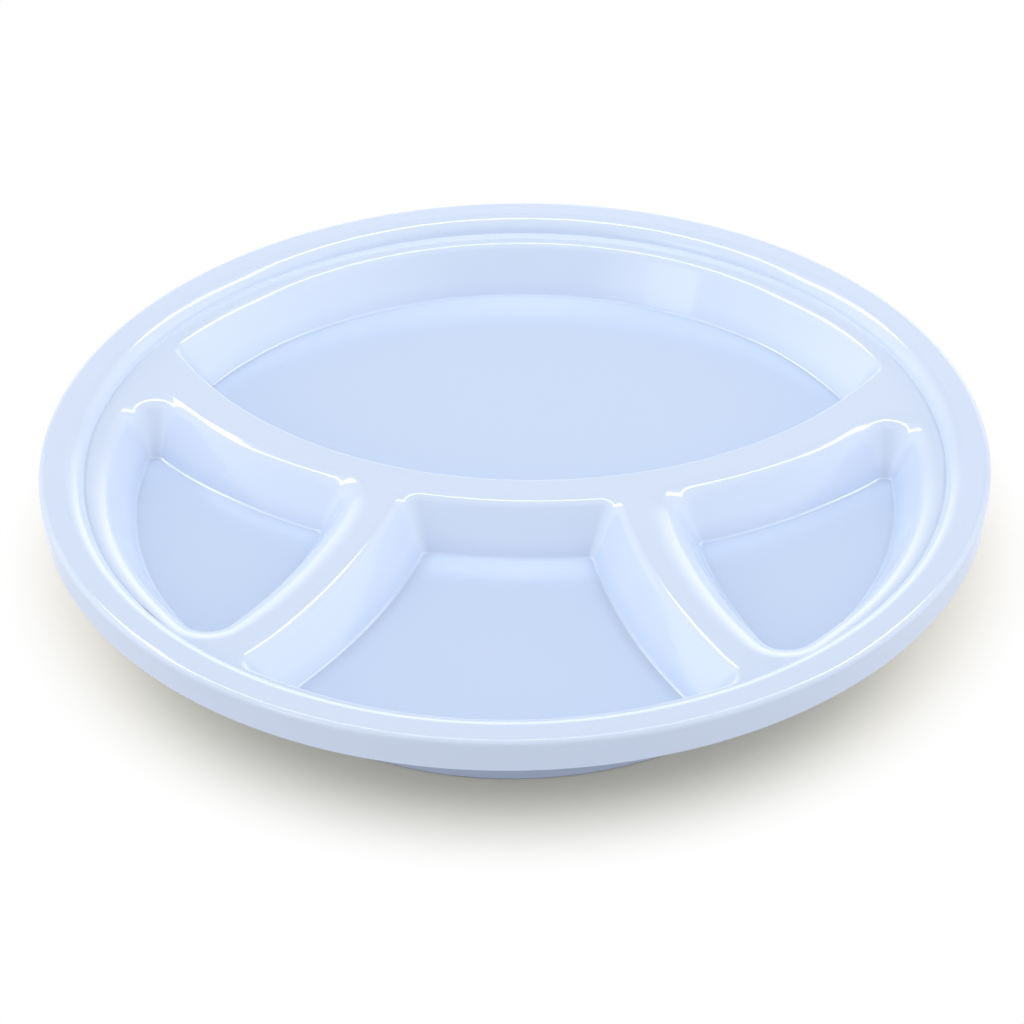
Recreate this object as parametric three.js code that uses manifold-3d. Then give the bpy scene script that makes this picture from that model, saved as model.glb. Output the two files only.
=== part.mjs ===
import * as THREE from 'three';
import { mergeVertices } from 'three/addons/utils/BufferGeometryUtils.js';
import Module from 'manifold-3d';

// Compartment dish: a moulded tray with four wells, its rim snapped over a conical base.
// Millimetres, +Z up, origin on the table under the middle of the dish.
// The large well lies towards +Y, the centre well towards -Y.

// Rim
const RIM_RADIUS = 130.4; // outside of the dish, at the top of the skirt
const SKIRT_HEIGHT = 9.6; // lower edge of the skirt to the top of the rim
const SKIRT_LEAN = 0.6; // how much narrower the skirt is at its lower edge
const RIM_BAND = 8.3; // flat top of the rim, from the outside to the crest of the step
const RIM_ROUND = 2.6; // round on the outer corner
const SKIRT_ROUND = 0.6; // round on the skirt's lower edge
const CREST_ROUND = 6.5; // round where the rim drops to the step
const STEP_DEPTH = 4.3; // top of the rim down to the deck
const STEP_RUN = 3.6; // how far the step's wall leans inwards
const WALL = 2.2; // wall of both mouldings

// Wells
const LEDGE = 5.1; // deck between the step and the mouths of the large and side wells
const CENTRE_LEDGE = 2.9; // the same in front of the centre well
const WELL_DEPTH = 13.5; // deck down to the floor of a well
const WELL_RUN = 8.3; // how far a well's wall leans inwards from mouth to floor
const MOUTH_CORNER = 6; // corner radius of a mouth, seen from above
const FLOOR_CORNER = 2.5; // the same of a floor
const FLOOR_FILLET = 1.5; // fillet between wall and floor
const MOUTH_ROUND = 3.7; // round on the edge of the large and centre mouths
const SIDE_ROUND = 7.5; // the same of the side wells

// Divider between the large well and the three small ones, its edges arcs about points on the Y axis
const DIVIDER_SETBACK = 10.1; // from the dish's middle forward to the divider
const DIVIDER_WIDTH = 10.1; // at its middle
const DIVIDER_BACK_RADIUS = 113.9; // edge that faces the large well
const DIVIDER_FRONT_RADIUS = 131.4; // edge that faces the small wells

// Webs between the small wells, arcs about a point beyond each side of the dish
const WEB_CENTRE_X = 204.7;
const WEB_CENTRE_Y = 18.3;
const WEB_RADIUS = 166.3; // edge that faces the side well
const WEB_WIDTH = 12.5;

// Base
const STAND_HEIGHT = 37.9; // table to the lower edge of the skirt
const FOOT_RADIUS = 86.7; // outside of the foot ring
const FOOT_WIDTH = 3.4;
const FOOT_HEIGHT = 4; // upright band of the foot
const FOOT_ROUND = 0.8; // round on the foot's lower edges
const FOOT_RECESS = 2; // table to the underside inside the foot ring
const BASE_ROUND = 6; // bends of the base wall
const SNAP_GAP = 0.3; // between the base and the inside of the skirt
const WELL_GAP = 1.5; // between the base wall and the wells

// Fineness of the facets
const RING_STEPS = 72; // around the dish
const FACET_LENGTH = 9; // along the sides of a well
const CORNER_STEPS = 4; // around the corner of a well
const ROUND_STEPS = 3; // across a round or a fillet

// Levels and radii that follow from the sizes above
const RIM_TOP = STAND_HEIGHT + SKIRT_HEIGHT;
const CHANNEL_TOP = RIM_TOP - WALL;
const DECK_TOP = RIM_TOP - STEP_DEPTH;
const DECK_UNDER = DECK_TOP - WALL;
const FLOOR_TOP = DECK_TOP - WELL_DEPTH;
const FLOOR_UNDER = FLOOR_TOP - WALL;
const CREST_RADIUS = RIM_RADIUS - RIM_BAND;
const STEP_RADIUS = CREST_RADIUS - STEP_RUN;
const MOUTH_RADIUS = STEP_RADIUS - LEDGE;
const CENTRE_MOUTH_RADIUS = STEP_RADIUS - CENTRE_LEDGE;
const DIVIDER_BACK_Y = DIVIDER_BACK_RADIUS - DIVIDER_SETBACK;
const DIVIDER_FRONT_Y = DIVIDER_FRONT_RADIUS - DIVIDER_SETBACK - DIVIDER_WIDTH;
const WELL_LEAN = WELL_RUN / WELL_DEPTH;
const WELL_WALL_ACROSS = WALL * Math.hypot(1, WELL_LEAN);

const wasm = await Module();
wasm.setup();

/** A geometry as a solid for joining and cutting. */
function toSolid(geometry) {
  const bare = new THREE.BufferGeometry();
  bare.setAttribute('position', geometry.getAttribute('position'));
  bare.setIndex(geometry.getIndex());
  const merged = mergeVertices(bare, 1e-4);
  return new wasm.Manifold(new wasm.Mesh({
    numProp: 3,
    vertProperties: Float32Array.from(merged.getAttribute('position').array),
    triVerts: Uint32Array.from(merged.getIndex().array),
  }));
}

/** A joined or cut solid as a geometry again. */
function toGeometry(solid) {
  const mesh = solid.getMesh();
  const geometry = new THREE.BufferGeometry();
  geometry.setAttribute('position', new THREE.BufferAttribute(mesh.vertProperties, 3));
  geometry.setIndex(new THREE.BufferAttribute(mesh.triVerts, 1));
  geometry.computeVertexNormals();
  return geometry;
}

/** Points along straight runs whose corners, given as [x, y, radius], are rounded. */
function roundedPath(corners) {
  const points = [];
  corners.forEach(([x, y, radius = 0], index) => {
    const corner = new THREE.Vector2(x, y);
    if (radius === 0) {
      points.push(corner);
      return;
    }
    const before = new THREE.Vector2(...corners[index - 1].slice(0, 2)).sub(corner).normalize();
    const after = new THREE.Vector2(...corners[index + 1].slice(0, 2)).sub(corner).normalize();
    const half = Math.acos(before.dot(after)) / 2;
    const centre = before.clone().add(after).setLength(radius / Math.sin(half)).add(corner);
    const start = before.setLength(radius / Math.tan(half)).add(corner).sub(centre);
    const end = after.setLength(radius / Math.tan(half)).add(corner).sub(centre);
    const turn = Math.atan2(start.cross(end), start.dot(end));
    for (let step = 0; step <= ROUND_STEPS; step += 1) {
      const angle = (turn * step) / ROUND_STEPS;
      points.push(start.clone().rotateAround(new THREE.Vector2(), angle).add(centre));
    }
  });
  return points;
}

/** A profile of radius and height, turned about the Z axis. */
function revolve(profile) {
  return new THREE.LatheGeometry(profile, RING_STEPS).rotateX(Math.PI / 2);
}

/** The point where two circles cross, on the side of the hint. */
function crossing(first, firstRadius, second, secondRadius, hint) {
  const span = second.clone().sub(first);
  const distance = span.length();
  const along = (distance ** 2 + firstRadius ** 2 - secondRadius ** 2) / (2 * distance);
  const across = Math.sqrt(firstRadius ** 2 - along ** 2);
  const foot = first.clone().addScaledVector(span, along / distance);
  const aside = new THREE.Vector2(-span.y, span.x).setLength(across);
  const options = [foot.clone().add(aside), foot.clone().sub(aside)];
  return options.sort((a, b) => a.distanceTo(hint) - b.distanceTo(hint))[0];
}

/** Radius of a side's circle moved inwards, towards the middle of its well. */
function insetRadius(side, inset) {
  return side.inside ? side.radius - inset : side.radius + inset;
}

/** Corner radius of a well at an inset from its mouth. */
function cornerRadius(inset) {
  return MOUTH_CORNER + ((FLOOR_CORNER - MOUTH_CORNER) * inset) / WELL_RUN;
}

/** Centres of a well's corners at an inset, one at the end of each side. */
function cornerCentres(sides, inset) {
  const reach = inset + cornerRadius(inset);
  return sides.map((side, index) => {
    const next = sides[(index + 1) % sides.length];
    return crossing(side.centre, insetRadius(side, reach), next.centre, insetRadius(next, reach), side.end);
  });
}

/** Angle round a centre from one point to another, anticlockwise for way 1 and clockwise for way -1. */
function sweepBetween(centre, from, to, way) {
  const turn = 2 * Math.PI;
  const change = to.clone().sub(centre).angle() - from.clone().sub(centre).angle();
  return ((change * way + turn) % turn) * way;
}

/** Points of an arc about a centre, from the direction of one point to that of another. */
function arcPoints(centre, radius, from, to, way, steps) {
  const start = from.clone().sub(centre).angle();
  const sweep = sweepBetween(centre, from, to, way);
  const points = [];
  for (let step = 0; step <= steps; step += 1) {
    const angle = start + (sweep * step) / steps;
    points.push(new THREE.Vector2(Math.cos(angle), Math.sin(angle)).multiplyScalar(radius).add(centre));
  }
  return points;
}

/**
 * Outline of a well at an inset from its mouth, anticlockwise, with the same count of points at every inset.
 * Each side is an arc, with the well inside or outside its circle, and a hint at the corner it ends in.
 */
function wellLoop(sides, inset) {
  const mouth = cornerCentres(sides, 0);
  const corners = cornerCentres(sides, inset);
  const arcs = sides.map((side, index) => {
    const before = (index + sides.length - 1) % sides.length;
    const way = side.inside ? 1 : -1;
    const length = Math.abs(sweepBetween(side.centre, mouth[before], mouth[index], way)) * side.radius;
    const steps = Math.ceil(length / FACET_LENGTH);
    return arcPoints(side.centre, insetRadius(side, inset), corners[before], corners[index], way, steps);
  });
  return arcs.flatMap((arc, index) => {
    const next = arcs[(index + 1) % arcs.length];
    const end = arc[arc.length - 1];
    const corner = arcPoints(corners[index], cornerRadius(inset), end, next[0], 1, CORNER_STEPS);
    return [...arc, ...corner.slice(1, -1)];
  });
}

/** A closed body through a well's outlines, one at the inset and height of each profile point. */
function loft(sides, profile) {
  const positions = [];
  const triangles = [];
  const loops = profile.map(({ x: inset }) => wellLoop(sides, inset));
  const count = loops[0].length;
  loops.forEach((loop, level) => {
    loop.forEach(({ x, y }) => positions.push(x, y, profile[level].y));
    if (level === 0) return;
    for (let index = 0; index < count; index += 1) {
      const low = (level - 1) * count;
      const next = (index + 1) % count;
      triangles.push(low + index, low + next, low + count + next);
      triangles.push(low + index, low + count + next, low + count + index);
    }
  });
  const top = (loops.length - 1) * count;
  for (const [a, b, c] of THREE.ShapeUtils.triangulateShape(loops[0], [])) triangles.push(a, c, b);
  for (const [a, b, c] of THREE.ShapeUtils.triangulateShape(loops[loops.length - 1], [])) {
    triangles.push(top + a, top + b, top + c);
  }
  const geometry = new THREE.BufferGeometry();
  geometry.setAttribute('position', new THREE.Float32BufferAttribute(positions, 3));
  geometry.setIndex(triangles);
  geometry.computeVertexNormals();
  return geometry;
}

/** Sides of the four wells, from the arcs of the rim, the divider and the webs. */
function wellSides() {
  const rimCentre = new THREE.Vector2(0, 0);
  const backCentre = new THREE.Vector2(0, DIVIDER_BACK_Y);
  const frontCentre = new THREE.Vector2(0, DIVIDER_FRONT_Y);
  const leftCentre = new THREE.Vector2(-WEB_CENTRE_X, WEB_CENTRE_Y);
  const rightCentre = new THREE.Vector2(WEB_CENTRE_X, WEB_CENTRE_Y);
  const outer = { centre: rimCentre, radius: MOUTH_RADIUS, inside: true };
  const centreOuter = { centre: rimCentre, radius: CENTRE_MOUTH_RADIUS, inside: true };
  const dividerBack = { centre: backCentre, radius: DIVIDER_BACK_RADIUS, inside: true };
  const dividerFront = { centre: frontCentre, radius: DIVIDER_FRONT_RADIUS, inside: false };
  const leftOfWeb = { centre: leftCentre, radius: WEB_RADIUS, inside: true };
  const rightOfWeb = { centre: rightCentre, radius: WEB_RADIUS, inside: true };
  const webLeft = { centre: leftCentre, radius: WEB_RADIUS + WEB_WIDTH, inside: false };
  const webRight = { centre: rightCentre, radius: WEB_RADIUS + WEB_WIDTH, inside: false };
  const left = new THREE.Vector2(-RIM_RADIUS, 0);
  const right = new THREE.Vector2(RIM_RADIUS, 0);
  const frontLeft = new THREE.Vector2(-RIM_RADIUS, -RIM_RADIUS);
  const frontRight = new THREE.Vector2(RIM_RADIUS, -RIM_RADIUS);
  const middle = new THREE.Vector2(0, 0);
  return {
    large_well: [{ ...outer, end: left }, { ...dividerBack, end: right }],
    left_well: [
      { ...outer, end: frontLeft },
      { ...leftOfWeb, end: middle },
      { ...dividerFront, end: left },
    ],
    centre_well: [
      { ...centreOuter, end: frontRight },
      { ...webRight, end: middle },
      { ...dividerFront, end: middle },
      { ...webLeft, end: frontLeft },
    ],
    right_well: [
      { ...outer, end: right },
      { ...dividerFront, end: middle },
      { ...rightOfWeb, end: frontRight },
    ],
  };
}

/** Inset of a well's leaning wall at a height. */
function wallInset(height) {
  return (DECK_TOP - height) * WELL_LEAN;
}

/** Inside of a well, from the floor up its wall and over the round on its mouth to the deck. */
function wellInside(round) {
  const path = roundedPath([
    [WELL_RUN + FLOOR_FILLET, FLOOR_TOP],
    [WELL_RUN, FLOOR_TOP, FLOOR_FILLET],
    [0, DECK_TOP, round],
    [-round, DECK_TOP],
  ]).slice(1, -1);
  const above = path.findIndex((point) => point.y > DECK_UNDER);
  const [low, high] = [path[above - 1], path[above]];
  const share = (DECK_UNDER - low.y) / (high.y - low.y);
  const seam = new THREE.Vector2(low.x + (high.x - low.x) * share, DECK_UNDER);
  return { below: [...path.slice(0, above), seam], above: path.slice(above), seam };
}

/** Space of a well through the deck, with the round on its mouth, up past the deck's top. */
function mouthCut(sides, round) {
  const { below, above, seam } = wellInside(round);
  const under = below[below.length - 2];
  const lip = above[above.length - 1];
  return loft(sides, [under, seam, ...above, new THREE.Vector2(lip.x, RIM_TOP)]);
}

/** Pan of a well: leaning walls and a floor, open at the top, hung under the deck. */
function wellPan(sides, round) {
  const outerCorner = wallInset(FLOOR_UNDER) - WELL_WALL_ACROSS;
  const outerTop = wallInset(DECK_UNDER) - WELL_WALL_ACROSS;
  const reach = FLOOR_FILLET + WALL;
  const outside = roundedPath([
    [outerCorner + reach, FLOOR_UNDER],
    [outerCorner, FLOOR_UNDER, reach],
    [outerTop, DECK_UNDER],
  ]);
  return loft(sides, [...outside.slice(1), ...wellInside(round).below.reverse()]);
}

/** Rim: skirt, flat band and the wall of the step, a channel open downwards. */
function rim() {
  const skirtFoot = RIM_RADIUS - SKIRT_LEAN;
  const profile = roundedPath([
    [skirtFoot - WALL, STAND_HEIGHT],
    [skirtFoot, STAND_HEIGHT, SKIRT_ROUND],
    [RIM_RADIUS, RIM_TOP, RIM_ROUND],
    [CREST_RADIUS, RIM_TOP, CREST_ROUND],
    [STEP_RADIUS, DECK_TOP],
    [STEP_RADIUS + WALL, DECK_TOP],
    [CREST_RADIUS + WALL - (STEP_RUN * WALL) / STEP_DEPTH, CHANNEL_TOP],
    [RIM_RADIUS - WALL, CHANNEL_TOP],
    [skirtFoot - WALL, STAND_HEIGHT],
  ]);
  return revolve(profile);
}

/** Deck: the flat plate inside the step, with the mouths of the wells cut through it. */
function deck(wells, mouthRound) {
  const edge = STEP_RADIUS + WALL;
  const plate = revolve(roundedPath([[0, DECK_UNDER], [edge, DECK_UNDER], [edge, DECK_TOP], [0, DECK_TOP]]));
  const cuts = Object.entries(wells).map(([name, sides]) => toSolid(mouthCut(sides, mouthRound[name])));
  return toGeometry(cuts.reduce((solid, cut) => solid.subtract(cut), toSolid(plate)));
}

/** Base: foot ring, recessed bottom and a wall that rises round the wells into the rim's channel. */
function base() {
  const plugOutside = RIM_RADIUS - SKIRT_LEAN - WALL - SNAP_GAP;
  const plugInside = plugOutside - WALL;
  const shoulder = CENTRE_MOUTH_RADIUS - wallInset(FLOOR_UNDER) + WELL_WALL_ACROSS + WELL_GAP;
  const shoulderOutside = shoulder + WELL_WALL_ACROSS;
  const footInside = FOOT_RADIUS - FOOT_WIDTH;
  const bottomTop = FOOT_RECESS + WALL;
  const profile = roundedPath([
    [0, FOOT_RECESS],
    [footInside, FOOT_RECESS],
    [footInside, 0, FOOT_ROUND],
    [FOOT_RADIUS, 0, FOOT_ROUND],
    [FOOT_RADIUS, FOOT_HEIGHT],
    [shoulderOutside, FLOOR_UNDER, BASE_ROUND],
    [plugOutside, STAND_HEIGHT, BASE_ROUND],
    [plugOutside, CHANNEL_TOP],
    [plugInside, CHANNEL_TOP],
    [plugInside, STAND_HEIGHT + WALL, BASE_ROUND],
    [shoulder, FLOOR_UNDER, BASE_ROUND],
    [FOOT_RADIUS - WALL, bottomTop],
    [0, bottomTop],
  ]);
  return revolve(profile);
}

/** A named piece in the dish's plastic. */
function piece(name, geometry) {
  const plastic = new THREE.MeshStandardMaterial({ color: 0xcfdef8, roughness: 0.14, metalness: 0 });
  const mesh = new THREE.Mesh(geometry, plastic);
  mesh.name = name;
  return mesh;
}

const wells = wellSides();
const mouthRound = {
  large_well: MOUTH_ROUND,
  left_well: SIDE_ROUND,
  centre_well: MOUTH_ROUND,
  right_well: SIDE_ROUND,
};
const dish = new THREE.Group();
dish.add(piece('rim', rim()));
dish.add(piece('deck', deck(wells, mouthRound)));
for (const [name, sides] of Object.entries(wells)) {
  dish.add(piece(name, wellPan(sides, mouthRound[name])));
}
dish.add(piece('base', base()));

export default dish;
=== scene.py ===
"""Glossy compartment dish in a white studio.

A tray moulding with four wells is snapped over a conical base with a foot ring. Both mouldings are built
here as smooth skins in the CAD model's frame, in metres, and stand for its nodes.
"""

import logging
import math
from dataclasses import dataclass, field
from enum import Enum
from typing import Any, Dict, List, Optional, Protocol, Sequence, Tuple

import bpy
from mathutils import Matrix, Vector
from mathutils.geometry import tessellate_polygon


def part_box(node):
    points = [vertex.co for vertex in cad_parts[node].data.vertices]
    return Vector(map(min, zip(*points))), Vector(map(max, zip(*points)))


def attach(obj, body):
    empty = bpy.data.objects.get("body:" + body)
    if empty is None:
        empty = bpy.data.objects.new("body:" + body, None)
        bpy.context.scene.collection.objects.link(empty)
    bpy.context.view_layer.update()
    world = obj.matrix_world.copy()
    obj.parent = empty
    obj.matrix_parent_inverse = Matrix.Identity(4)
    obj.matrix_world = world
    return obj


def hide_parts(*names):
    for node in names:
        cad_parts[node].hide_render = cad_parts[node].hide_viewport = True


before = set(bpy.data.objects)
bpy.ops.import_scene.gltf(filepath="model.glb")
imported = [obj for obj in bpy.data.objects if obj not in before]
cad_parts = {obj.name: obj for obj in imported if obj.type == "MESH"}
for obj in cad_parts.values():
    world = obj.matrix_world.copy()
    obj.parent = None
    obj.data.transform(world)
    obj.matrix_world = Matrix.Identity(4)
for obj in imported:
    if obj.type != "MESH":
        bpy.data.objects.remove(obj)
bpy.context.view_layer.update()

MM = 0.001

log = logging.getLogger("compartment_dish")

Colour = Tuple[float, float, float, float]
Loop = List[int]


def linear(hex_code: str) -> Colour:
    """Turns an sRGB hex colour into linear values.

    Args:
        hex_code: Six hex digits with a leading #.

    Returns:
        Linear red, green, blue and an alpha of one.
    """
    channels = [int(hex_code[place:place + 2], 16) / 255 for place in (1, 3, 5)]
    curve = [c / 12.92 if c <= 0.04045 else ((c + 0.055) / 1.055) ** 2.4 for c in channels]
    return curve[0], curve[1], curve[2], 1.0


def add_node(tree: bpy.types.NodeTree, kind: str, inputs: Optional[Dict[Any, Any]] = None,
             **settings: Any) -> bpy.types.Node:
    """Adds a node with its settings, and links or sets its inputs.

    Args:
        tree: Node tree that takes the node.
        kind: Blender's type name of the node.
        inputs: Input name or number, to an output socket to link or a value to set.
        **settings: Properties of the node.

    Returns:
        The new node.
    """
    node = tree.nodes.new(kind)
    for name, value in settings.items():
        setattr(node, name, value)
    for key, value in (inputs or {}).items():
        if isinstance(value, bpy.types.NodeSocket):
            tree.links.new(value, node.inputs[key])
        else:
            node.inputs[key].default_value = value
    return node


def direction(azimuth: float, elevation: float) -> Vector:
    """Finds the way from the dish to something round it.

    Args:
        azimuth: Degrees from the front, to the right.
        elevation: Degrees above the floor.

    Returns:
        A vector of length one.
    """
    turn, rise = math.radians(azimuth), math.radians(elevation)
    return Vector((math.sin(turn) * math.cos(rise), -math.cos(turn) * math.cos(rise), math.sin(rise)))


@dataclass(frozen=True)
class Station:
    """One point of a moulding's section, with the normal of the surface there."""

    out: float
    up: float
    normal_out: float
    normal_up: float


@dataclass(frozen=True)
class Bend:
    """A corner of a section in millimetres, rounded by a radius."""

    out: float
    up: float
    radius: float = 0.0


def section(bends: Sequence[Bend], steps: int) -> List[Station]:
    """Rounds the corners of a section and finds the surface normal at each point.

    The surface faces the right-hand side of the way from the first corner to the last.

    Args:
        bends: Corners in millimetres; the first and the last one stay sharp.
        steps: Facets across each round.

    Returns:
        Stations in metres.
    """
    corners = [Vector((bend.out, bend.up)) for bend in bends]
    ways = [(after - before).normalized() for before, after in zip(corners, corners[1:])]
    stations: List[Station] = []
    for index, bend in enumerate(bends):
        if index in (0, len(bends) - 1):
            way = ways[0] if index == 0 else ways[-1]
            stations.append(Station(bend.out * MM, bend.up * MM, way.y, -way.x))
            continue
        start, end = ways[index - 1], ways[index]
        turn = math.atan2(start.x * end.y - start.y * end.x, start.dot(end))
        reach = bend.radius * math.tan(abs(turn) / 2)
        side = math.copysign(1.0, turn)
        centre = corners[index] - start * reach + Vector((-start.y, start.x)) * side * bend.radius
        for step in range(steps + 1):
            normal = Vector((start.y, -start.x))
            normal.rotate(Matrix.Rotation(turn * step / steps, 2))
            spot = centre + normal * side * bend.radius
            stations.append(Station(spot.x * MM, spot.y * MM, normal.x, normal.y))
    return stations


@dataclass(frozen=True)
class RingPoint:
    """A point of an outline seen from above, with its outward normal.

    The pace is how far the point moves when the outline grows or shrinks by one.
    """

    spot: Vector
    outward: Vector
    pace: float = 1.0


Ring = List[RingPoint]


class Outline(Protocol):
    """Something that a section is carried round."""

    def ring(self, out: float) -> Ring:
        """The outline at one distance along the section's out."""


@dataclass(frozen=True)
class TurnedOutline:
    """Circles about the Z axis, for a turned section."""

    count: int

    def ring(self, out: float) -> Ring:
        """The circle with the section's out as its radius."""
        turns = [2 * math.pi * index / self.count for index in range(self.count)]
        rays = [Vector((math.cos(turn), math.sin(turn))) for turn in turns]
        return [RingPoint(ray * out, ray) for ray in rays]


@dataclass
class Skin:
    """Points, normals and faces of one smooth moulded surface.

    Round a well, a normal is averaged with as many neighbours on each side as the reach says.
    """

    ease_reach: int = 6
    points: List[Vector] = field(default_factory=list)
    normals: List[Vector] = field(default_factory=list)
    faces: List[Tuple[int, ...]] = field(default_factory=list)

    def loop(self, ring: Ring, station: Station) -> Loop:
        """Adds one loop of points.

        Args:
            ring: Points seen from above.
            station: Point of the section that the loop runs through.

        Returns:
            Numbers of the new points.
        """
        first = len(self.points)
        for spot, normal in self.lifted(ring, station):
            self.points.append(spot)
            self.normals.append(normal)
        return list(range(first, len(self.points)))

    def lifted(self, ring: Ring, station: Station) -> List[Tuple[Vector, Vector]]:
        """Points of a ring at a station's height, each with its normal.

        Args:
            ring: Points seen from above.
            station: Point of the section.

        Returns:
            Points and normals.
        """
        pairs: List[Tuple[Vector, Vector]] = []
        for point in ring:
            lean = point.outward * station.normal_out
            normal = Vector((lean.x, lean.y, station.normal_up * point.pace)).normalized()
            pairs.append((Vector((point.spot.x, point.spot.y, station.up)), normal))
        return pairs

    def sweep(self, outline: Outline, stations: Sequence[Station]) -> Tuple[Loop, Loop]:
        """Carries a section round an outline.

        Args:
            outline: Rings seen from above, anticlockwise.
            stations: The section.

        Returns:
            The first and the last loop of points.
        """
        return self.bridge([self.loop(outline.ring(station.out), station) for station in stations])

    def sweep_sides(self, outline: "WellOutline",
                    sections: Sequence[Sequence[Station]]) -> Tuple[Loop, Loop]:
        """Carries a section of its own round each side of a well, and blends them round the corners.

        Args:
            outline: Outline of the well.
            sections: A section for each side, with the same count of stations.

        Returns:
            The first and the last loop of points.
        """
        loops: List[Loop] = []
        blends = outline.blends()
        for stations in zip(*sections):
            sides = [self.lifted(outline.ring(station.out), station) for station in stations]
            first = len(self.points)
            normals: List[Vector] = []
            for index, (before, after, share) in enumerate(blends):
                (spot, normal), (next_spot, next_normal) = sides[before][index], sides[after][index]
                self.points.append(spot.lerp(next_spot, share))
                normals.append(normal.lerp(next_normal, share))
            self.normals += self.eased(normals)
            loops.append(list(range(first, len(self.points))))
        return self.bridge(loops)

    def eased(self, normals: Sequence[Vector]) -> List[Vector]:
        """Averages each normal of a loop with its neighbours, so that light runs on round the corners.

        Args:
            normals: Normals of a loop, in order.

        Returns:
            The eased normals.
        """
        count, reach = len(normals), self.ease_reach
        eased: List[Vector] = []
        for index in range(count):
            total = Vector()
            for step in range(-reach, reach + 1):
                total += normals[(index + step) % count] * (reach + 1 - abs(step))
            eased.append(total.normalized())
        return eased

    def bridge(self, loops: Sequence[Loop]) -> Tuple[Loop, Loop]:
        """Closes the faces between loops of points.

        Args:
            loops: Loops of the same count of points.

        Returns:
            The first and the last loop.
        """
        for low, high in zip(loops, loops[1:]):
            for index in range(len(low)):
                after = (index + 1) % len(low)
                self.faces.append((low[index], low[after], high[after], high[index]))
        return loops[0], loops[-1]

    def flat(self, outline: Loop, holes: Sequence[Loop], facing_up: bool) -> None:
        """Closes a level face between an outline and its holes.

        Args:
            outline: Points of the outline.
            holes: Points of each hole.
            facing_up: Whether the face looks up or down.
        """
        numbers = [number for loop in (outline, *holes) for number in loop]
        outlines = [[self.points[number] for number in loop] for loop in (outline, *holes)]
        for corners in tessellate_polygon(outlines):
            a, b, c = (self.points[numbers[corner]] for corner in corners)
            turn = (b - a).cross(c - a).z
            face = tuple(numbers[corner] for corner in corners)
            self.faces.append(face if (turn > 0) == facing_up else face[::-1])

    def piece(self, name: str) -> bpy.types.Object:
        """Makes the piece, with its exact normals.

        Args:
            name: Name of the piece.

        Returns:
            The new object, linked to the scene.
        """
        mesh = bpy.data.meshes.new(name)
        mesh.from_pydata(self.points, [], self.faces)
        mesh.polygons.foreach_set("use_smooth", [True] * len(mesh.polygons))
        mesh.normals_split_custom_set_from_vertices(self.normals)
        mesh.update()
        piece = bpy.data.objects.new(name, mesh)
        bpy.context.scene.collection.objects.link(piece)
        return piece


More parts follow.
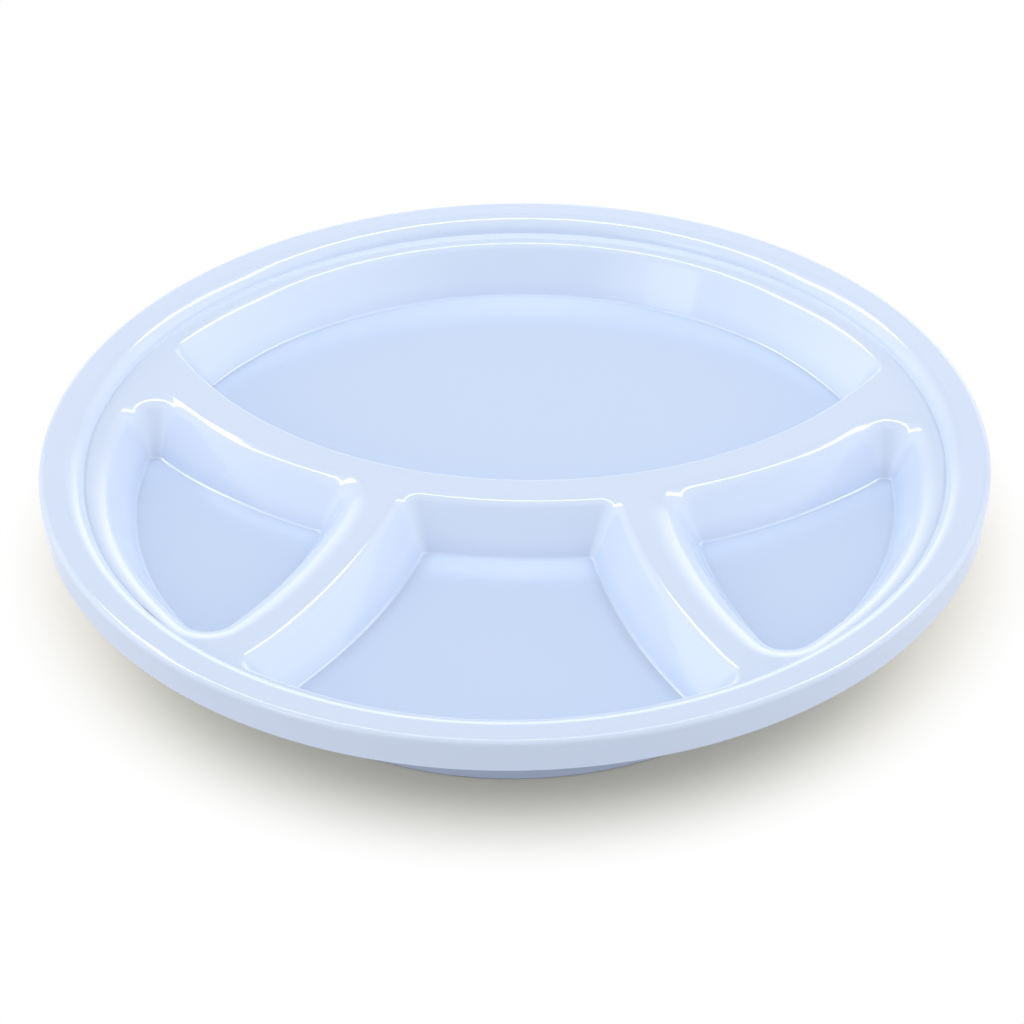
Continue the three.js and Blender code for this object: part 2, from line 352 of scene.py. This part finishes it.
@dataclass(frozen=True)
class MouldedGlossPlastic:
    """Melamine or polypropylene from a polished mould: pale, glossy and slightly cloudy.

    The eye sees a faint drift of colour from the flow of the plastic, a soft ripple in the reflections
    where the skin shrank, and a haze of fine wipe marks that breaks up the gloss. Low down the colour is
    painted a touch darker, as painted shade on the well floors and the foot, the skin is worn to satin, and
    the gloss fades where the skin is seen edge on.

    Spans of height are measured from a level that the piece gives. A piece that lies above its worn span
    is glossy all over.
    """

    name: str
    colour: str
    flow_colour: str
    painted_shade_colour: str
    painted_shade_mm: Tuple[float, float]
    worn_mm: Tuple[float, float]
    ior: float = 1.65
    sheen: Tuple[float, float] = (0.65, 0.05)
    sheen_span: Tuple[float, float] = (0.58, 0.78)
    roughness: Tuple[float, float] = (0.065, 0.11)
    worn_roughness: float = 0.42
    flow_mm: float = 70.0
    flow_detail: float = 2.0
    ripple_mm: float = 16.0
    ripple_height_mm: float = 0.05
    peel_mm: float = 1.6
    peel_height_mm: float = 0.002
    bump_detail: float = 1.0
    wipe_mm: float = 5.0
    wipe_detail: float = 5.0
    wipe_span: Tuple[float, float] = (0.3, 0.7)

    def material(self, level_mm: float) -> bpy.types.Material:
        """Builds the material.

        Args:
            level_mm: Height that the spans of the finish are measured from.

        Returns:
            The new material.
        """
        material = bpy.data.materials.new(self.name)
        material.use_nodes = True
        tree = material.node_tree
        tree.nodes.clear()
        place = add_node(tree, "ShaderNodeTexCoord").outputs["Object"]
        flow = self.noise(tree, place, self.flow_mm, self.flow_detail)
        top = add_node(tree, "ShaderNodeMix", {
            0: flow, 6: linear(self.colour), 7: linear(self.flow_colour)}, data_type="RGBA")
        height = add_node(tree, "ShaderNodeSeparateXYZ", {0: place}).outputs["Z"]
        # Painted shade: below this span the colour darkens to the painted shade colour, on the well floors
        # and the foot.
        painted_shade_low, painted_shade_high = ((level_mm + above) * MM for above in self.painted_shade_mm)
        painted_shade_mix = add_node(tree, "ShaderNodeMapRange", {
            "Value": height, "From Min": painted_shade_low, "From Max": painted_shade_high})
        tone = add_node(tree, "ShaderNodeMix", {
            0: painted_shade_mix.outputs[0], 6: linear(self.painted_shade_colour), 7: top.outputs[2]}, data_type="RGBA")
        haze = add_node(tree, "ShaderNodeMapRange", {
            "Value": self.noise(tree, place, self.wipe_mm, self.wipe_detail),
            "From Min": self.wipe_span[0], "From Max": self.wipe_span[1],
            "To Min": self.roughness[0], "To Max": self.roughness[1]})
        worn_low, worn_high = ((level_mm + above) * MM for above in self.worn_mm)
        satin = add_node(tree, "ShaderNodeMapRange", {
            "Value": height, "From Min": worn_low, "From Max": worn_high,
            "To Min": self.worn_roughness, "To Max": haze.outputs[0]})
        ripple = add_node(tree, "ShaderNodeBump", {
            "Height": self.noise(tree, place, self.ripple_mm, self.bump_detail), "Strength": 1.0,
            "Distance": self.ripple_height_mm * MM})
        peel = add_node(tree, "ShaderNodeBump", {
            "Height": self.noise(tree, place, self.peel_mm, self.bump_detail), "Strength": 1.0,
            "Distance": self.peel_height_mm * MM, "Normal": ripple.outputs[0]})
        sheen = add_node(tree, "ShaderNodeMapRange", {
            "Value": add_node(tree, "ShaderNodeLayerWeight", {"Blend": 0.5}).outputs["Facing"],
            "From Min": self.sheen_span[0], "From Max": self.sheen_span[1],
            "To Min": self.sheen[0], "To Max": self.sheen[1]})
        skin = add_node(tree, "ShaderNodeBsdfPrincipled", {
            "Base Color": tone.outputs[2], "Roughness": satin.outputs[0], "Normal": peel.outputs[0],
            "IOR": self.ior, "Specular IOR Level": sheen.outputs[0]})
        add_node(tree, "ShaderNodeOutputMaterial", {"Surface": skin.outputs[0]})
        return material

    def noise(self, tree: bpy.types.NodeTree, place: bpy.types.NodeSocket, grain_mm: float,
              detail: float) -> bpy.types.NodeSocket:
        """Soft noise with grains of a real size.

        Args:
            tree: Node tree of the material.
            place: Socket of the coordinates, in metres.
            grain_mm: Size of a grain.
            detail: Octaves of finer grains.

        Returns:
            The noise, from nought to one.
        """
        return add_node(tree, "ShaderNodeTexNoise", {
            "Vector": place, "Scale": 1 / (grain_mm * MM), "Detail": detail}).outputs[0]


class Lies(Enum):
    """On which side of an arc's circle a well lies."""

    INSIDE = 1
    OUTSIDE = -1


@dataclass(frozen=True)
class Side:
    """One arc of a well's mouth, in millimetres.

    The end is a place near which the arc ends, and the edge is the round on it.
    """

    centre: Tuple[float, float]
    radius: float
    lies: Lies
    end: Tuple[float, float]
    edge: float

    def reach(self, inset: float) -> float:
        """Radius of the arc when it is moved into the well."""
        return self.radius - inset * self.lies.value


def crossing(first: Side, second: Side, inset: float) -> Vector:
    """Finds where two sides cross, both moved into the well.

    Args:
        first: Side that ends there.
        second: Side that starts there.
        inset: How far the sides are moved.

    Returns:
        The crossing that is nearer the end of the first side.
    """
    start, span = Vector(first.centre), Vector(second.centre) - Vector(first.centre)
    reach, next_reach = first.reach(inset), second.reach(inset)
    along = (span.length_squared + reach ** 2 - next_reach ** 2) / (2 * span.length)
    across = math.sqrt(reach ** 2 - along ** 2)
    way = span.normalized()
    foot, aside = start + way * along, Vector((-way.y, way.x)) * across
    return min((foot + aside, foot - aside), key=lambda spot: (spot - Vector(first.end)).length)


@dataclass(frozen=True)
class WellOutline:
    """Outlines of one well, from arcs with rounded corners that tighten from the mouth to the floor.

    Sizes are in millimetres; the section's out is measured from the mouth and grows away from the well.
    The blend is how far past a corner the sections of two sides run into each other, and the nudge is the
    small inset that shows how fast a corner moves.
    """

    sides: Tuple[Side, ...]
    mouth_corner: float
    floor_corner: float
    run: float
    facet: float = 1.6
    blend: float = 16.0
    nudge: float = 0.05
    corner_steps: int = 20

    def corner_radius(self, inset: float) -> float:
        """Radius of the corners at an inset from the mouth."""
        return self.mouth_corner + (self.floor_corner - self.mouth_corner) * inset / self.run

    def corners(self, inset: float) -> List[Vector]:
        """Centres of the corners at an inset, one at the end of each side."""
        reach = inset + self.corner_radius(inset)
        afters = self.sides[1:] + self.sides[:1]
        return [crossing(side, after, reach) for side, after in zip(self.sides, afters)]

    def sweep(self, index: int, corners: Sequence[Vector]) -> Tuple[float, float]:
        """Finds where a side's arc starts and how far it turns.

        Args:
            index: Number of the side.
            corners: Centres of the corners.

        Returns:
            First angle and turn, in radians.
        """
        side = self.sides[index]
        start, end = corners[index - 1] - Vector(side.centre), corners[index] - Vector(side.centre)
        first, last = math.atan2(start.y, start.x), math.atan2(end.y, end.x)
        way = side.lies.value
        return first, ((last - first) * way % (2 * math.pi)) * way

    def steps(self, index: int) -> int:
        """Facets along a side."""
        turn = self.sweep(index, self.corners(0.0))[1]
        return math.ceil(abs(turn) * self.sides[index].radius / self.facet)

    def blends(self) -> List[Tuple[int, int, float]]:
        """Finds which sides each point of a ring belongs to.

        Returns:
            Side before the point, side after it and the share of the latter.
        """
        corner = self.mouth_corner * math.pi / 2
        whole = corner + 2 * self.blend

        def share(way: float) -> float:
            """Share of the side after a corner, from the way gone since the blend began."""
            part = min(max(way / whole, 0.0), 1.0)
            return part * part * (3 - 2 * part)

        blends: List[Tuple[int, int, float]] = []
        for index in range(len(self.sides)):
            before, after = index - 1, (index + 1) % len(self.sides)
            steps = self.steps(index)
            for step in range(steps + 1):
                if 2 * step < steps:
                    blends.append((before, index, share(self.blend + corner + step * self.facet)))
                else:
                    blends.append((index, after, share(self.blend - (steps - step) * self.facet)))
            for step in range(1, self.corner_steps):
                blends.append((index, after, share(self.blend + corner * step / self.corner_steps)))
        return blends

    def ring(self, out: float) -> Ring:
        """Points of the outline at one distance along the section's out.

        Args:
            out: Distance from the mouth, in metres.

        Returns:
            The ring, anticlockwise, with the same count of points at every distance.
        """
        inset = -out / MM
        corners = self.corners(inset)
        nudged = self.corners(inset + self.nudge)
        radius = self.corner_radius(inset)
        tighten = (self.corner_radius(inset + self.nudge) - radius) / self.nudge
        points: Ring = []
        for index, side in enumerate(self.sides):
            way, centre = side.lies.value, Vector(side.centre)
            steps = self.steps(index)
            first, turn = self.sweep(index, corners)
            for step in range(steps + 1):
                angle = first + turn * step / steps
                ray = Vector((math.cos(angle), math.sin(angle)))
                points.append(RingPoint((centre + ray * side.reach(inset)) * MM, ray * way))
            after = (index + 1) % len(self.sides)
            leave = points[-1].outward
            arrive = (corners[index] - Vector(self.sides[after].centre)) * self.sides[after].lies.value
            bend = (math.atan2(arrive.y, arrive.x) - math.atan2(leave.y, leave.x)) % (2 * math.pi)
            drift = (nudged[index] - corners[index]) / self.nudge
            for step in range(1, self.corner_steps):
                ray = leave.copy()
                ray.rotate(Matrix.Rotation(bend * step / self.corner_steps, 2))
                pace = -ray.dot(drift) - tighten
                points.append(RingPoint((corners[index] + ray * radius) * MM, ray, pace))
        return points


@dataclass
class Tray:
    """The upper moulding: rim with its skirt and step, deck and four wells, in millimetres.

    A backing is the share of the wall that lies behind the crest or the step. A strip is the level stretch
    with which a section starts or ends, at the mouth as a share of its round. The divider's arcs and the
    webs are given by their centres and radii.
    """

    finish: MouldedGlossPlastic
    rim_radius: float = 130.4
    skirt_lean: float = 0.6
    lip_round: float = 0.6
    rim_band: float = 10.7
    rim_round: float = 1.8
    crest_round: float = 5.0
    crest_backing: float = 0.5
    step_run: float = 1.2
    step_fillet: float = 0.4
    step_backing: float = 0.8
    channel_round: float = 0.4
    under_fillet: float = 1.0
    under_strip: float = 2.0
    ledge_strip: float = 0.7
    ledge: float = 5.1
    centre_ledge: float = 2.9
    well_run: float = 8.3
    mouth_corner: float = 6.0
    side_corner: float = 9.0
    floor_corner: float = 2.5
    floor_fillet: float = 1.5
    mouth_round: float = 3.7
    keen_round: float = 0.7
    side_round: float = 7.5
    web_round: float = 13.0
    mouth_strip: float = 0.59
    pan_fillet: float = 0.5
    pan_floor_strip: float = 2.5
    pan_deck_strip: float = 0.4
    divider_back: Tuple[float, float] = (103.8, 113.9)
    divider_front: Tuple[float, float] = (111.2, 131.4)
    web_centre: Tuple[float, float] = (204.7, 18.3)
    web_radius: float = 166.3
    web_width: float = 12.5
    ring_steps: int = 480
    round_steps: int = 16
    pan_steps: int = 3
    nodes: Tuple[str, ...] = ("rim", "deck", "large_well", "left_well", "centre_well", "right_well")
    skin: Skin = field(default_factory=Skin)
    lip: float = field(init=False)
    rim_top: float = field(init=False)
    deck_under: float = field(init=False)
    deck_top: float = field(init=False)
    floor_under: float = field(init=False)
    wall: float = field(init=False)
    floor_top: float = field(init=False)
    crest_radius: float = field(init=False)
    step_radius: float = field(init=False)
    mouth_radius: float = field(init=False)
    lean: float = field(init=False)

    def __post_init__(self) -> None:
        """Takes the levels from the CAD nodes, and works out what follows from them."""
        self.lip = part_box("rim")[0].z / MM
        self.rim_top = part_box("rim")[1].z / MM
        self.deck_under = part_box("deck")[0].z / MM
        self.deck_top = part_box("deck")[1].z / MM
        self.floor_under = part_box("large_well")[0].z / MM
        self.wall = self.deck_top - self.deck_under
        self.floor_top = self.floor_under + self.wall
        self.crest_radius = self.rim_radius - self.rim_band
        self.step_radius = self.crest_radius - self.step_run
        self.mouth_radius = self.step_radius - self.centre_ledge
        self.lean = self.well_run / (self.deck_top - self.floor_top)

    def wells(self) -> Dict[str, WellOutline]:
        """Finds the outlines of the wells from the arcs of the rim, the divider and the webs.

        Returns:
            Outline of each well by its node.
        """
        far = self.rim_radius
        left, right, middle = (-far, 0.0), (far, 0.0), (0.0, 0.0)
        front_left, front_right = (-far, -far), (far, -far)
        back_y, back_radius = self.divider_back
        front_y, front_radius = self.divider_front
        web_x, web_y = self.web_centre
        wide = self.web_radius + self.web_width

        def outline(corner: float, *sides: Side) -> WellOutline:
            """A well with corners of one radius at its mouth."""
            return WellOutline(sides, corner, self.floor_corner, self.well_run)

        def outer(ledge: float, end: Tuple[float, float], edge: float) -> Side:
            """The side along the rim, behind a ledge."""
            return Side(middle, self.step_radius - ledge, Lies.INSIDE, end, edge)

        def front(end: Tuple[float, float], edge: float) -> Side:
            """The side along the divider, for a small well."""
            return Side((0.0, front_y), front_radius, Lies.OUTSIDE, end, edge)

        return {
            "large_well": outline(
                self.mouth_corner,
                outer(self.ledge, left, self.mouth_round),
                Side((0.0, back_y), back_radius, Lies.INSIDE, right, self.keen_round)),
            "left_well": outline(
                self.side_corner,
                outer(self.ledge, front_left, self.side_round),
                Side((-web_x, web_y), self.web_radius, Lies.INSIDE, middle, self.web_round),
                front(left, self.mouth_round)),
            "centre_well": outline(
                self.mouth_corner,
                outer(self.centre_ledge, front_right, self.keen_round),
                Side((web_x, web_y), wide, Lies.OUTSIDE, middle, self.mouth_round),
                front(middle, self.mouth_round),
                Side((-web_x, web_y), wide, Lies.OUTSIDE, front_left, self.mouth_round)),
            "right_well": outline(
                self.side_corner,
                outer(self.ledge, right, self.side_round),
                front(middle, self.mouth_round),
                Side((web_x, web_y), self.web_radius, Lies.INSIDE, front_right, self.web_round)),
        }

    def rim_section(self) -> List[Station]:
        """Finds the section from the underside of the deck round the skirt to the top of the deck.

        Returns:
            The section.
        """
        foot = self.rim_radius - self.skirt_lean
        channel = self.rim_top - self.wall
        inner_crest = self.crest_radius + self.wall * self.crest_backing
        inner_step = self.step_radius + self.wall * self.step_backing
        return section([
            Bend(inner_step - self.under_strip, self.deck_under),
            Bend(inner_step, self.deck_under, self.under_fillet),
            Bend(inner_crest, channel, self.channel_round),
            Bend(self.rim_radius - self.wall, channel, self.channel_round),
            Bend(foot - self.wall, self.lip, self.lip_round),
            Bend(foot, self.lip, self.lip_round),
            Bend(self.rim_radius, self.rim_top, self.rim_round),
            Bend(self.crest_radius, self.rim_top, self.crest_round),
            Bend(self.step_radius, self.deck_top, self.step_fillet),
            Bend(self.step_radius - self.ledge_strip, self.deck_top),
        ], self.round_steps)

    def well_section(self, mouth_round: float) -> List[Station]:
        """Finds the section of a well's inside, from the deck over the mouth down to the floor.

        Args:
            mouth_round: Round on the edge of the mouth.

        Returns:
            The section.
        """
        return section([
            Bend(mouth_round * self.mouth_strip, self.deck_top),
            Bend(0.0, self.deck_top, mouth_round),
            Bend(-self.well_run, self.floor_top, self.floor_fillet),
            Bend(-self.well_run - self.floor_fillet, self.floor_top),
        ], self.round_steps)

    def pan_section(self) -> List[Station]:
        """Finds the section of a well's outside, from under the floor up to the underside of the deck.

        Returns:
            The section.
        """
        across = self.wall * math.hypot(1.0, self.lean)
        low = across - self.lean * (self.deck_top - self.floor_under)
        high = across - self.lean * self.wall
        return section([
            Bend(low - self.pan_floor_strip, self.floor_under),
            Bend(low, self.floor_under, self.floor_fillet + self.wall),
            Bend(high, self.deck_under, self.pan_fillet),
            Bend(high + self.pan_deck_strip, self.deck_under),
        ], self.pan_steps)

    def build(self) -> bpy.types.Object:
        """Builds the tray as one closed skin.

        Returns:
            The tray.
        """
        under, top = self.skin.sweep(TurnedOutline(self.ring_steps), self.rim_section())
        mouths: List[Loop] = []
        pans: List[Loop] = []
        for name, outline in self.wells().items():
            sections = [self.well_section(side.edge) for side in outline.sides]
            mouth, floor = self.skin.sweep_sides(outline, sections)
            self.skin.flat(floor, (), True)
            bottom, pan = self.skin.sweep(outline, self.pan_section())
            self.skin.flat(bottom, (), False)
            mouths.append(mouth)
            pans.append(pan)
            log.info("%s: %d points round its mouth", name, len(mouth))
        self.skin.flat(top, mouths, True)
        self.skin.flat(under, pans, False)
        return self.skin.piece("tray_moulding")

    def dress(self, piece: bpy.types.Object) -> None:
        """Gives the tray its finish and its place on the CAD body.

        Args:
            piece: The tray.
        """
        piece.data.materials.append(self.finish.material(self.floor_top))
        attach(piece, "root")
        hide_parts(*self.nodes)


@dataclass
class Base:
    """The lower moulding: foot ring, recessed bottom and a conical wall, in millimetres."""

    finish: MouldedGlossPlastic
    tray: Tray
    foot_radius: float = 86.7
    foot_width: float = 3.4
    foot_height: float = 4.0
    foot_round: float = 0.8
    foot_fillet: float = 0.8
    recess: float = 2.0
    recess_fillet: float = 0.8
    floor_fillet: float = 1.5
    bend_round: float = 6.0
    plug_round: float = 0.3
    snap_gap: float = 0.3
    well_gap: float = 1.5
    ring_steps: int = 480
    round_steps: int = 6

    def profile(self) -> List[Station]:
        """Finds the section from the middle of the underside round the wall to the middle of the floor.

        Returns:
            The section.
        """
        tray, wall = self.tray, self.tray.wall
        plug = tray.rim_radius - tray.skirt_lean - wall - self.snap_gap
        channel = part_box("base")[1].z / MM
        across = wall * math.hypot(1.0, tray.lean)
        shoulder = (tray.mouth_radius - tray.lean * (tray.deck_top - tray.floor_under) + across
                    + self.well_gap)
        return section([
            Bend(0.0, self.recess),
            Bend(self.foot_radius - self.foot_width, self.recess, self.recess_fillet),
            Bend(self.foot_radius - self.foot_width, 0.0, self.foot_round),
            Bend(self.foot_radius, 0.0, self.foot_round),
            Bend(self.foot_radius, self.foot_height, self.foot_fillet),
            Bend(shoulder + across, tray.floor_under, self.bend_round),
            Bend(plug, tray.lip, self.bend_round),
            Bend(plug, channel, self.plug_round),
            Bend(plug - wall, channel, self.plug_round),
            Bend(plug - wall, tray.lip + wall, self.bend_round),
            Bend(shoulder, tray.floor_under, self.bend_round),
            Bend(self.foot_radius - wall, self.recess + wall, self.floor_fillet),
            Bend(0.0, self.recess + wall),
        ], self.round_steps)

    def build(self) -> bpy.types.Object:
        """Builds the base as one closed skin.

        Returns:
            The base.
        """
        skin = Skin()
        # The two ends lie on the axis, inside the level faces.
        stations = self.profile()[1:-1]
        bottom, inside = skin.sweep(TurnedOutline(self.ring_steps), stations)
        skin.flat(bottom, (), False)
        skin.flat(inside, (), True)
        return skin.piece("base_moulding")

    def dress(self, piece: bpy.types.Object) -> None:
        """Gives the base its finish and its place on the CAD body.

        Args:
            piece: The base.
        """
        piece.data.materials.append(self.finish.material(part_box("base")[0].z / MM))
        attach(piece, "root")
        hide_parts("base")


@dataclass(frozen=True)
class WhitePaperFloor:
    """Matt studio paper: it shows the shadow of the dish and fades to plain white further out.

    The shadow is partly painted: the fade to white, round a middle set behind the dish, paints where the
    shadow ends, and the cream colour, seen only inside the fade, paints its warm tint. Rays that only carry
    light to the dish meet paper of one even colour, the bounce colour, a blue-grey that stands in for the
    shaded paper round the dish as painted shade.
    """

    name: str = "studio_paper_matt"
    # Painted shadow tint: the cream colour is seen only inside the fade, so it tints the dish's shadow
    # warm.
    colour: str = "#F7EFD5"
    fibre_colour: str = "#F3EAD0"
    fibre_mm: float = 3.0
    fibre_detail: float = 4.0
    # Painted shadow: the fade to white is centred on this middle behind the dish, and its span sets where
    # the shadow ends.
    shadow_middle_mm: Tuple[float, float] = (-1.0, 22.5)
    near_mm: float = 109.0
    far_mm: float = 149.0
    # Painted shade: the bounce colour is a blue-grey that stands in for the shaded paper round the dish.
    painted_shade_bounce_colour: str = "#CDD1DA"

    def material(self) -> bpy.types.Material:
        """Builds the material.

        Returns:
            The new material.
        """
        material = bpy.data.materials.new(self.name)
        material.use_nodes = True
        tree = material.node_tree
        tree.nodes.clear()
        place = add_node(tree, "ShaderNodeTexCoord").outputs["Object"]
        fibres = add_node(tree, "ShaderNodeTexNoise", {
            "Vector": place, "Scale": 1 / (self.fibre_mm * MM), "Detail": self.fibre_detail})
        tone = add_node(tree, "ShaderNodeMix", {
            0: fibres.outputs[0], 6: linear(self.colour), 7: linear(self.fibre_colour)},
            data_type="RGBA")
        paper = add_node(tree, "ShaderNodeBsdfDiffuse", {"Color": tone.outputs[2]})
        white = add_node(tree, "ShaderNodeEmission", {"Strength": 1.0})
        middle = Vector((self.shadow_middle_mm[0], self.shadow_middle_mm[1], 0.0)) * MM
        away = add_node(tree, "ShaderNodeVectorMath", {0: place, 1: middle}, operation="DISTANCE")
        # Painted shadow: the paper fades to plain white round the shadow's middle, which cuts the real
        # shadow off.
        shadow_fade = add_node(tree, "ShaderNodeMapRange", {
            "Value": away.outputs["Value"], "From Min": self.near_mm * MM, "From Max": self.far_mm * MM},
            interpolation_type="SMOOTHSTEP")
        looks = add_node(tree, "ShaderNodeMixShader", {
            0: shadow_fade.outputs[0], 1: paper.outputs[0], 2: white.outputs[0]})
        bounce = add_node(tree, "ShaderNodeBsdfDiffuse", {"Color": linear(self.painted_shade_bounce_colour)})
        rays = add_node(tree, "ShaderNodeLightPath").outputs
        direct = add_node(tree, "ShaderNodeMath", {
            0: rays["Is Camera Ray"], 1: rays["Is Glossy Ray"]}, operation="MAXIMUM")
        seen = add_node(tree, "ShaderNodeMath", {
            0: direct.outputs[0], 1: rays["Is Transmission Ray"]}, operation="MAXIMUM")
        mix = add_node(tree, "ShaderNodeMixShader", {
            0: seen.outputs[0], 1: bounce.outputs[0], 2: looks.outputs[0]})
        add_node(tree, "ShaderNodeOutputMaterial", {"Surface": mix.outputs[0]})
        return material


@dataclass(frozen=True)
class Softbox:
    """A rectangular studio light that points at the dish; a brightness of one is that of white paper."""

    name: str
    azimuth: float
    elevation: float
    distance: float
    size: Tuple[float, float]
    brightness: float

    def build(self) -> bpy.types.Object:
        """Builds the light, hidden from the camera itself.

        Returns:
            The light.
        """
        back = direction(self.azimuth, self.elevation)
        lamp = bpy.data.lights.new(self.name, "AREA")
        lamp.shape, lamp.size, lamp.size_y = "RECTANGLE", self.size[0], self.size[1]
        lamp.energy = self.brightness * math.pi * self.size[0] * self.size[1]
        light = bpy.data.objects.new(self.name, lamp)
        light.location = back * self.distance
        light.rotation_euler = back.to_track_quat("Z", "Y").to_euler()
        light.visible_camera = False
        bpy.context.scene.collection.objects.link(light)
        return light


@dataclass(frozen=True)
class ClothSurround:
    """White cloth round the table: bright on both sides and low at the back, dimmer in front.

    Levels are the brightness of the cloth, one being that of white paper. Ranges are of the direction's
    own measures: its reach sideways, to which the side lift adds a share of its height, its nearness to the
    front cloth, its height and its reach to the back.
    """

    side_level: float = 1.45
    side_lift: float = 0.1
    side_range: Tuple[float, float] = (0.35, 1.0)
    front_level: float = 0.58
    front_rise: float = 42.0
    front_range: Tuple[float, float] = (0.55, 0.95)
    back_levels: Tuple[float, float] = (1.6, 0.5)
    back_height: Tuple[float, float] = (0.34, 0.6)
    back_range: Tuple[float, float] = (0.8, 0.95)

    def build(self) -> bpy.types.World:
        """Builds the world.

        Returns:
            The new world.
        """
        world = bpy.data.worlds.new("cloth_surround")
        world.use_nodes = True
        tree = world.node_tree
        tree.nodes.clear()
        way = add_node(tree, "ShaderNodeTexCoord").outputs["Generated"]
        part = add_node(tree, "ShaderNodeSeparateXYZ", {0: way}).outputs
        reach = add_node(tree, "ShaderNodeMath", {0: part["X"]}, operation="ABSOLUTE").outputs[0]
        lifted = add_node(tree, "ShaderNodeMath", {0: part["Z"], 1: self.side_lift, 2: reach},
                          operation="MULTIPLY_ADD").outputs[0]
        near = add_node(tree, "ShaderNodeVectorMath", {0: way, 1: direction(0.0, self.front_rise)},
                        operation="DOT_PRODUCT").outputs["Value"]
        side = self.ramp(tree, lifted, self.side_range, (0.0, self.side_level))
        front = self.ramp(tree, near, self.front_range, (0.0, self.front_level))
        low = self.ramp(tree, part["Z"], self.back_height, self.back_levels)
        back = self.ramp(tree, part["Y"], self.back_range, (0.0, 1.0))
        both = add_node(tree, "ShaderNodeMath", {0: side, 1: front}, operation="ADD").outputs[0]
        level = add_node(tree, "ShaderNodeMath", {0: low, 1: back, 2: both},
                         operation="MULTIPLY_ADD").outputs[0]
        cloth = add_node(tree, "ShaderNodeBackground", {"Color": linear("#FFFFFF"), "Strength": level})
        add_node(tree, "ShaderNodeOutputWorld", {"Surface": cloth.outputs[0]})
        return world

    def ramp(self, tree: bpy.types.NodeTree, value: bpy.types.NodeSocket, span: Tuple[float, float],
             levels: Tuple[float, float]) -> bpy.types.NodeSocket:
        """A soft rise from one level to another.

        Args:
            tree: Node tree of the world.
            value: What the rise follows.
            span: Values where it starts and ends.
            levels: Levels before and after it.

        Returns:
            The level.
        """
        return add_node(tree, "ShaderNodeMapRange", {
            "Value": value, "From Min": span[0], "From Max": span[1], "To Min": levels[0],
            "To Max": levels[1]}).outputs[0]


@dataclass
class Studio:
    """White floor, soft lights and the camera, in metres and degrees.

    The camera looks at the aim, which lies some pixels away from the middle of the picture.
    """

    paper: WhitePaperFloor = WhitePaperFloor()
    floor_radius: float = 4.0
    floor_sides: int = 96
    surround: ClothSurround = ClothSurround()
    lights: Tuple[Softbox, ...] = (
        Softbox("left_front_softbox", -45.0, 22.0, 1.5, (0.34, 0.6), 0.5),
        Softbox("left_front_wide_softbox", -38.0, 22.0, 1.5, (0.69, 0.6), 0.4),
        Softbox("left_strip", -119.0, 50.0, 1.5, (1.1, 0.17), 5.0),
        Softbox("right_strip", 119.0, 50.0, 1.5, (1.1, 0.17), 5.0),
        Softbox("overhead_strip", 180.0, 84.0, 1.4, (2.3, 0.19), 4.7),
    )
    aim: Tuple[float, float, float] = (0.0, 0.0, 0.0379)
    azimuth: float = 4.38
    elevation: float = 34.86
    distance: float = 1.1041
    roll: float = 0.86
    focal_px: float = 4000.0
    aim_px: Tuple[float, float] = (2.76, -37.69)
    image_px: float = 1024.0
    sensor_mm: float = 36.0
    clip: Tuple[float, float] = (0.05, 20.0)

    def floor(self) -> bpy.types.Object:
        """Lays the floor.

        Returns:
            The floor.
        """
        mesh = bpy.data.meshes.new("studio_floor")
        ring = TurnedOutline(self.floor_sides).ring(self.floor_radius)
        corners = [(point.spot.x, point.spot.y, 0.0) for point in ring]
        mesh.from_pydata(corners, [], [tuple(range(len(corners)))])
        floor = bpy.data.objects.new("studio_floor", mesh)
        floor.data.materials.append(self.paper.material())
        bpy.context.scene.collection.objects.link(floor)
        return floor

    def camera(self) -> bpy.types.Object:
        """Sets up the camera so that the aim lies at its place in the picture.

        Returns:
            The camera.
        """
        back = direction(self.azimuth, self.elevation)
        turn, tilt = math.radians(self.azimuth), math.radians(self.roll)
        side = Vector((math.cos(turn), math.sin(turn), 0.0))
        upright = back.cross(side)
        right = side * math.cos(tilt) - upright * math.sin(tilt)
        up = side * math.sin(tilt) + upright * math.cos(tilt)
        eye = Vector(self.aim) + back * self.distance
        pixel = self.distance / self.focal_px
        middle = Vector(self.aim) - right * self.aim_px[0] * pixel + up * self.aim_px[1] * pixel
        ahead = (eye - middle).normalized()
        right = up.cross(ahead).normalized()
        up = ahead.cross(right)
        lens = bpy.data.cameras.new("studio_camera")
        lens.sensor_width = self.sensor_mm
        lens.lens = self.sensor_mm * self.focal_px / self.image_px
        lens.clip_start, lens.clip_end = self.clip
        camera = bpy.data.objects.new("studio_camera", lens)
        camera.matrix_world = Matrix((
            (right.x, up.x, ahead.x, eye.x), (right.y, up.y, ahead.y, eye.y),
            (right.z, up.z, ahead.z, eye.z), (0.0, 0.0, 0.0, 1.0)))
        bpy.context.scene.collection.objects.link(camera)
        bpy.context.scene.camera = camera
        return camera

    def build(self) -> None:
        """Builds the floor, the surround, the lights and the camera."""
        self.floor()
        bpy.context.scene.world = self.surround.build()
        for softbox in self.lights:
            softbox.build()
        self.camera()
        bpy.context.scene.view_settings.view_transform = "Standard"


def main() -> None:
    """Builds the dish and the studio, and reports each piece."""
    logging.basicConfig(level=logging.INFO)
    Studio().build()
    # Each finish darkens low down to its painted shade colour: painted shade on the well floors and on the
    # foot.
    tray = Tray(MouldedGlossPlastic(
        "melamine_moulded_pale_blue", colour="#DDE9FE", flow_colour="#D8E6FD", painted_shade_colour="#CFE0FB",
        painted_shade_mm=(-0.1, 4.3), worn_mm=(-0.35, 0.2)))
    base = Base(MouldedGlossPlastic(
        "melamine_moulded_pale_blue_base", colour="#D0DEF8", flow_colour="#CBDAF6", painted_shade_colour="#CFDBF2",
        painted_shade_mm=(0.0, 20.0), worn_mm=(-2.0, -1.0)), tray)
    for part in (tray, base):
        piece = part.build()
        part.dress(piece)
        log.info("%s: %d faces", piece.name, len(piece.data.polygons))


if __name__ == "__main__":
    main()
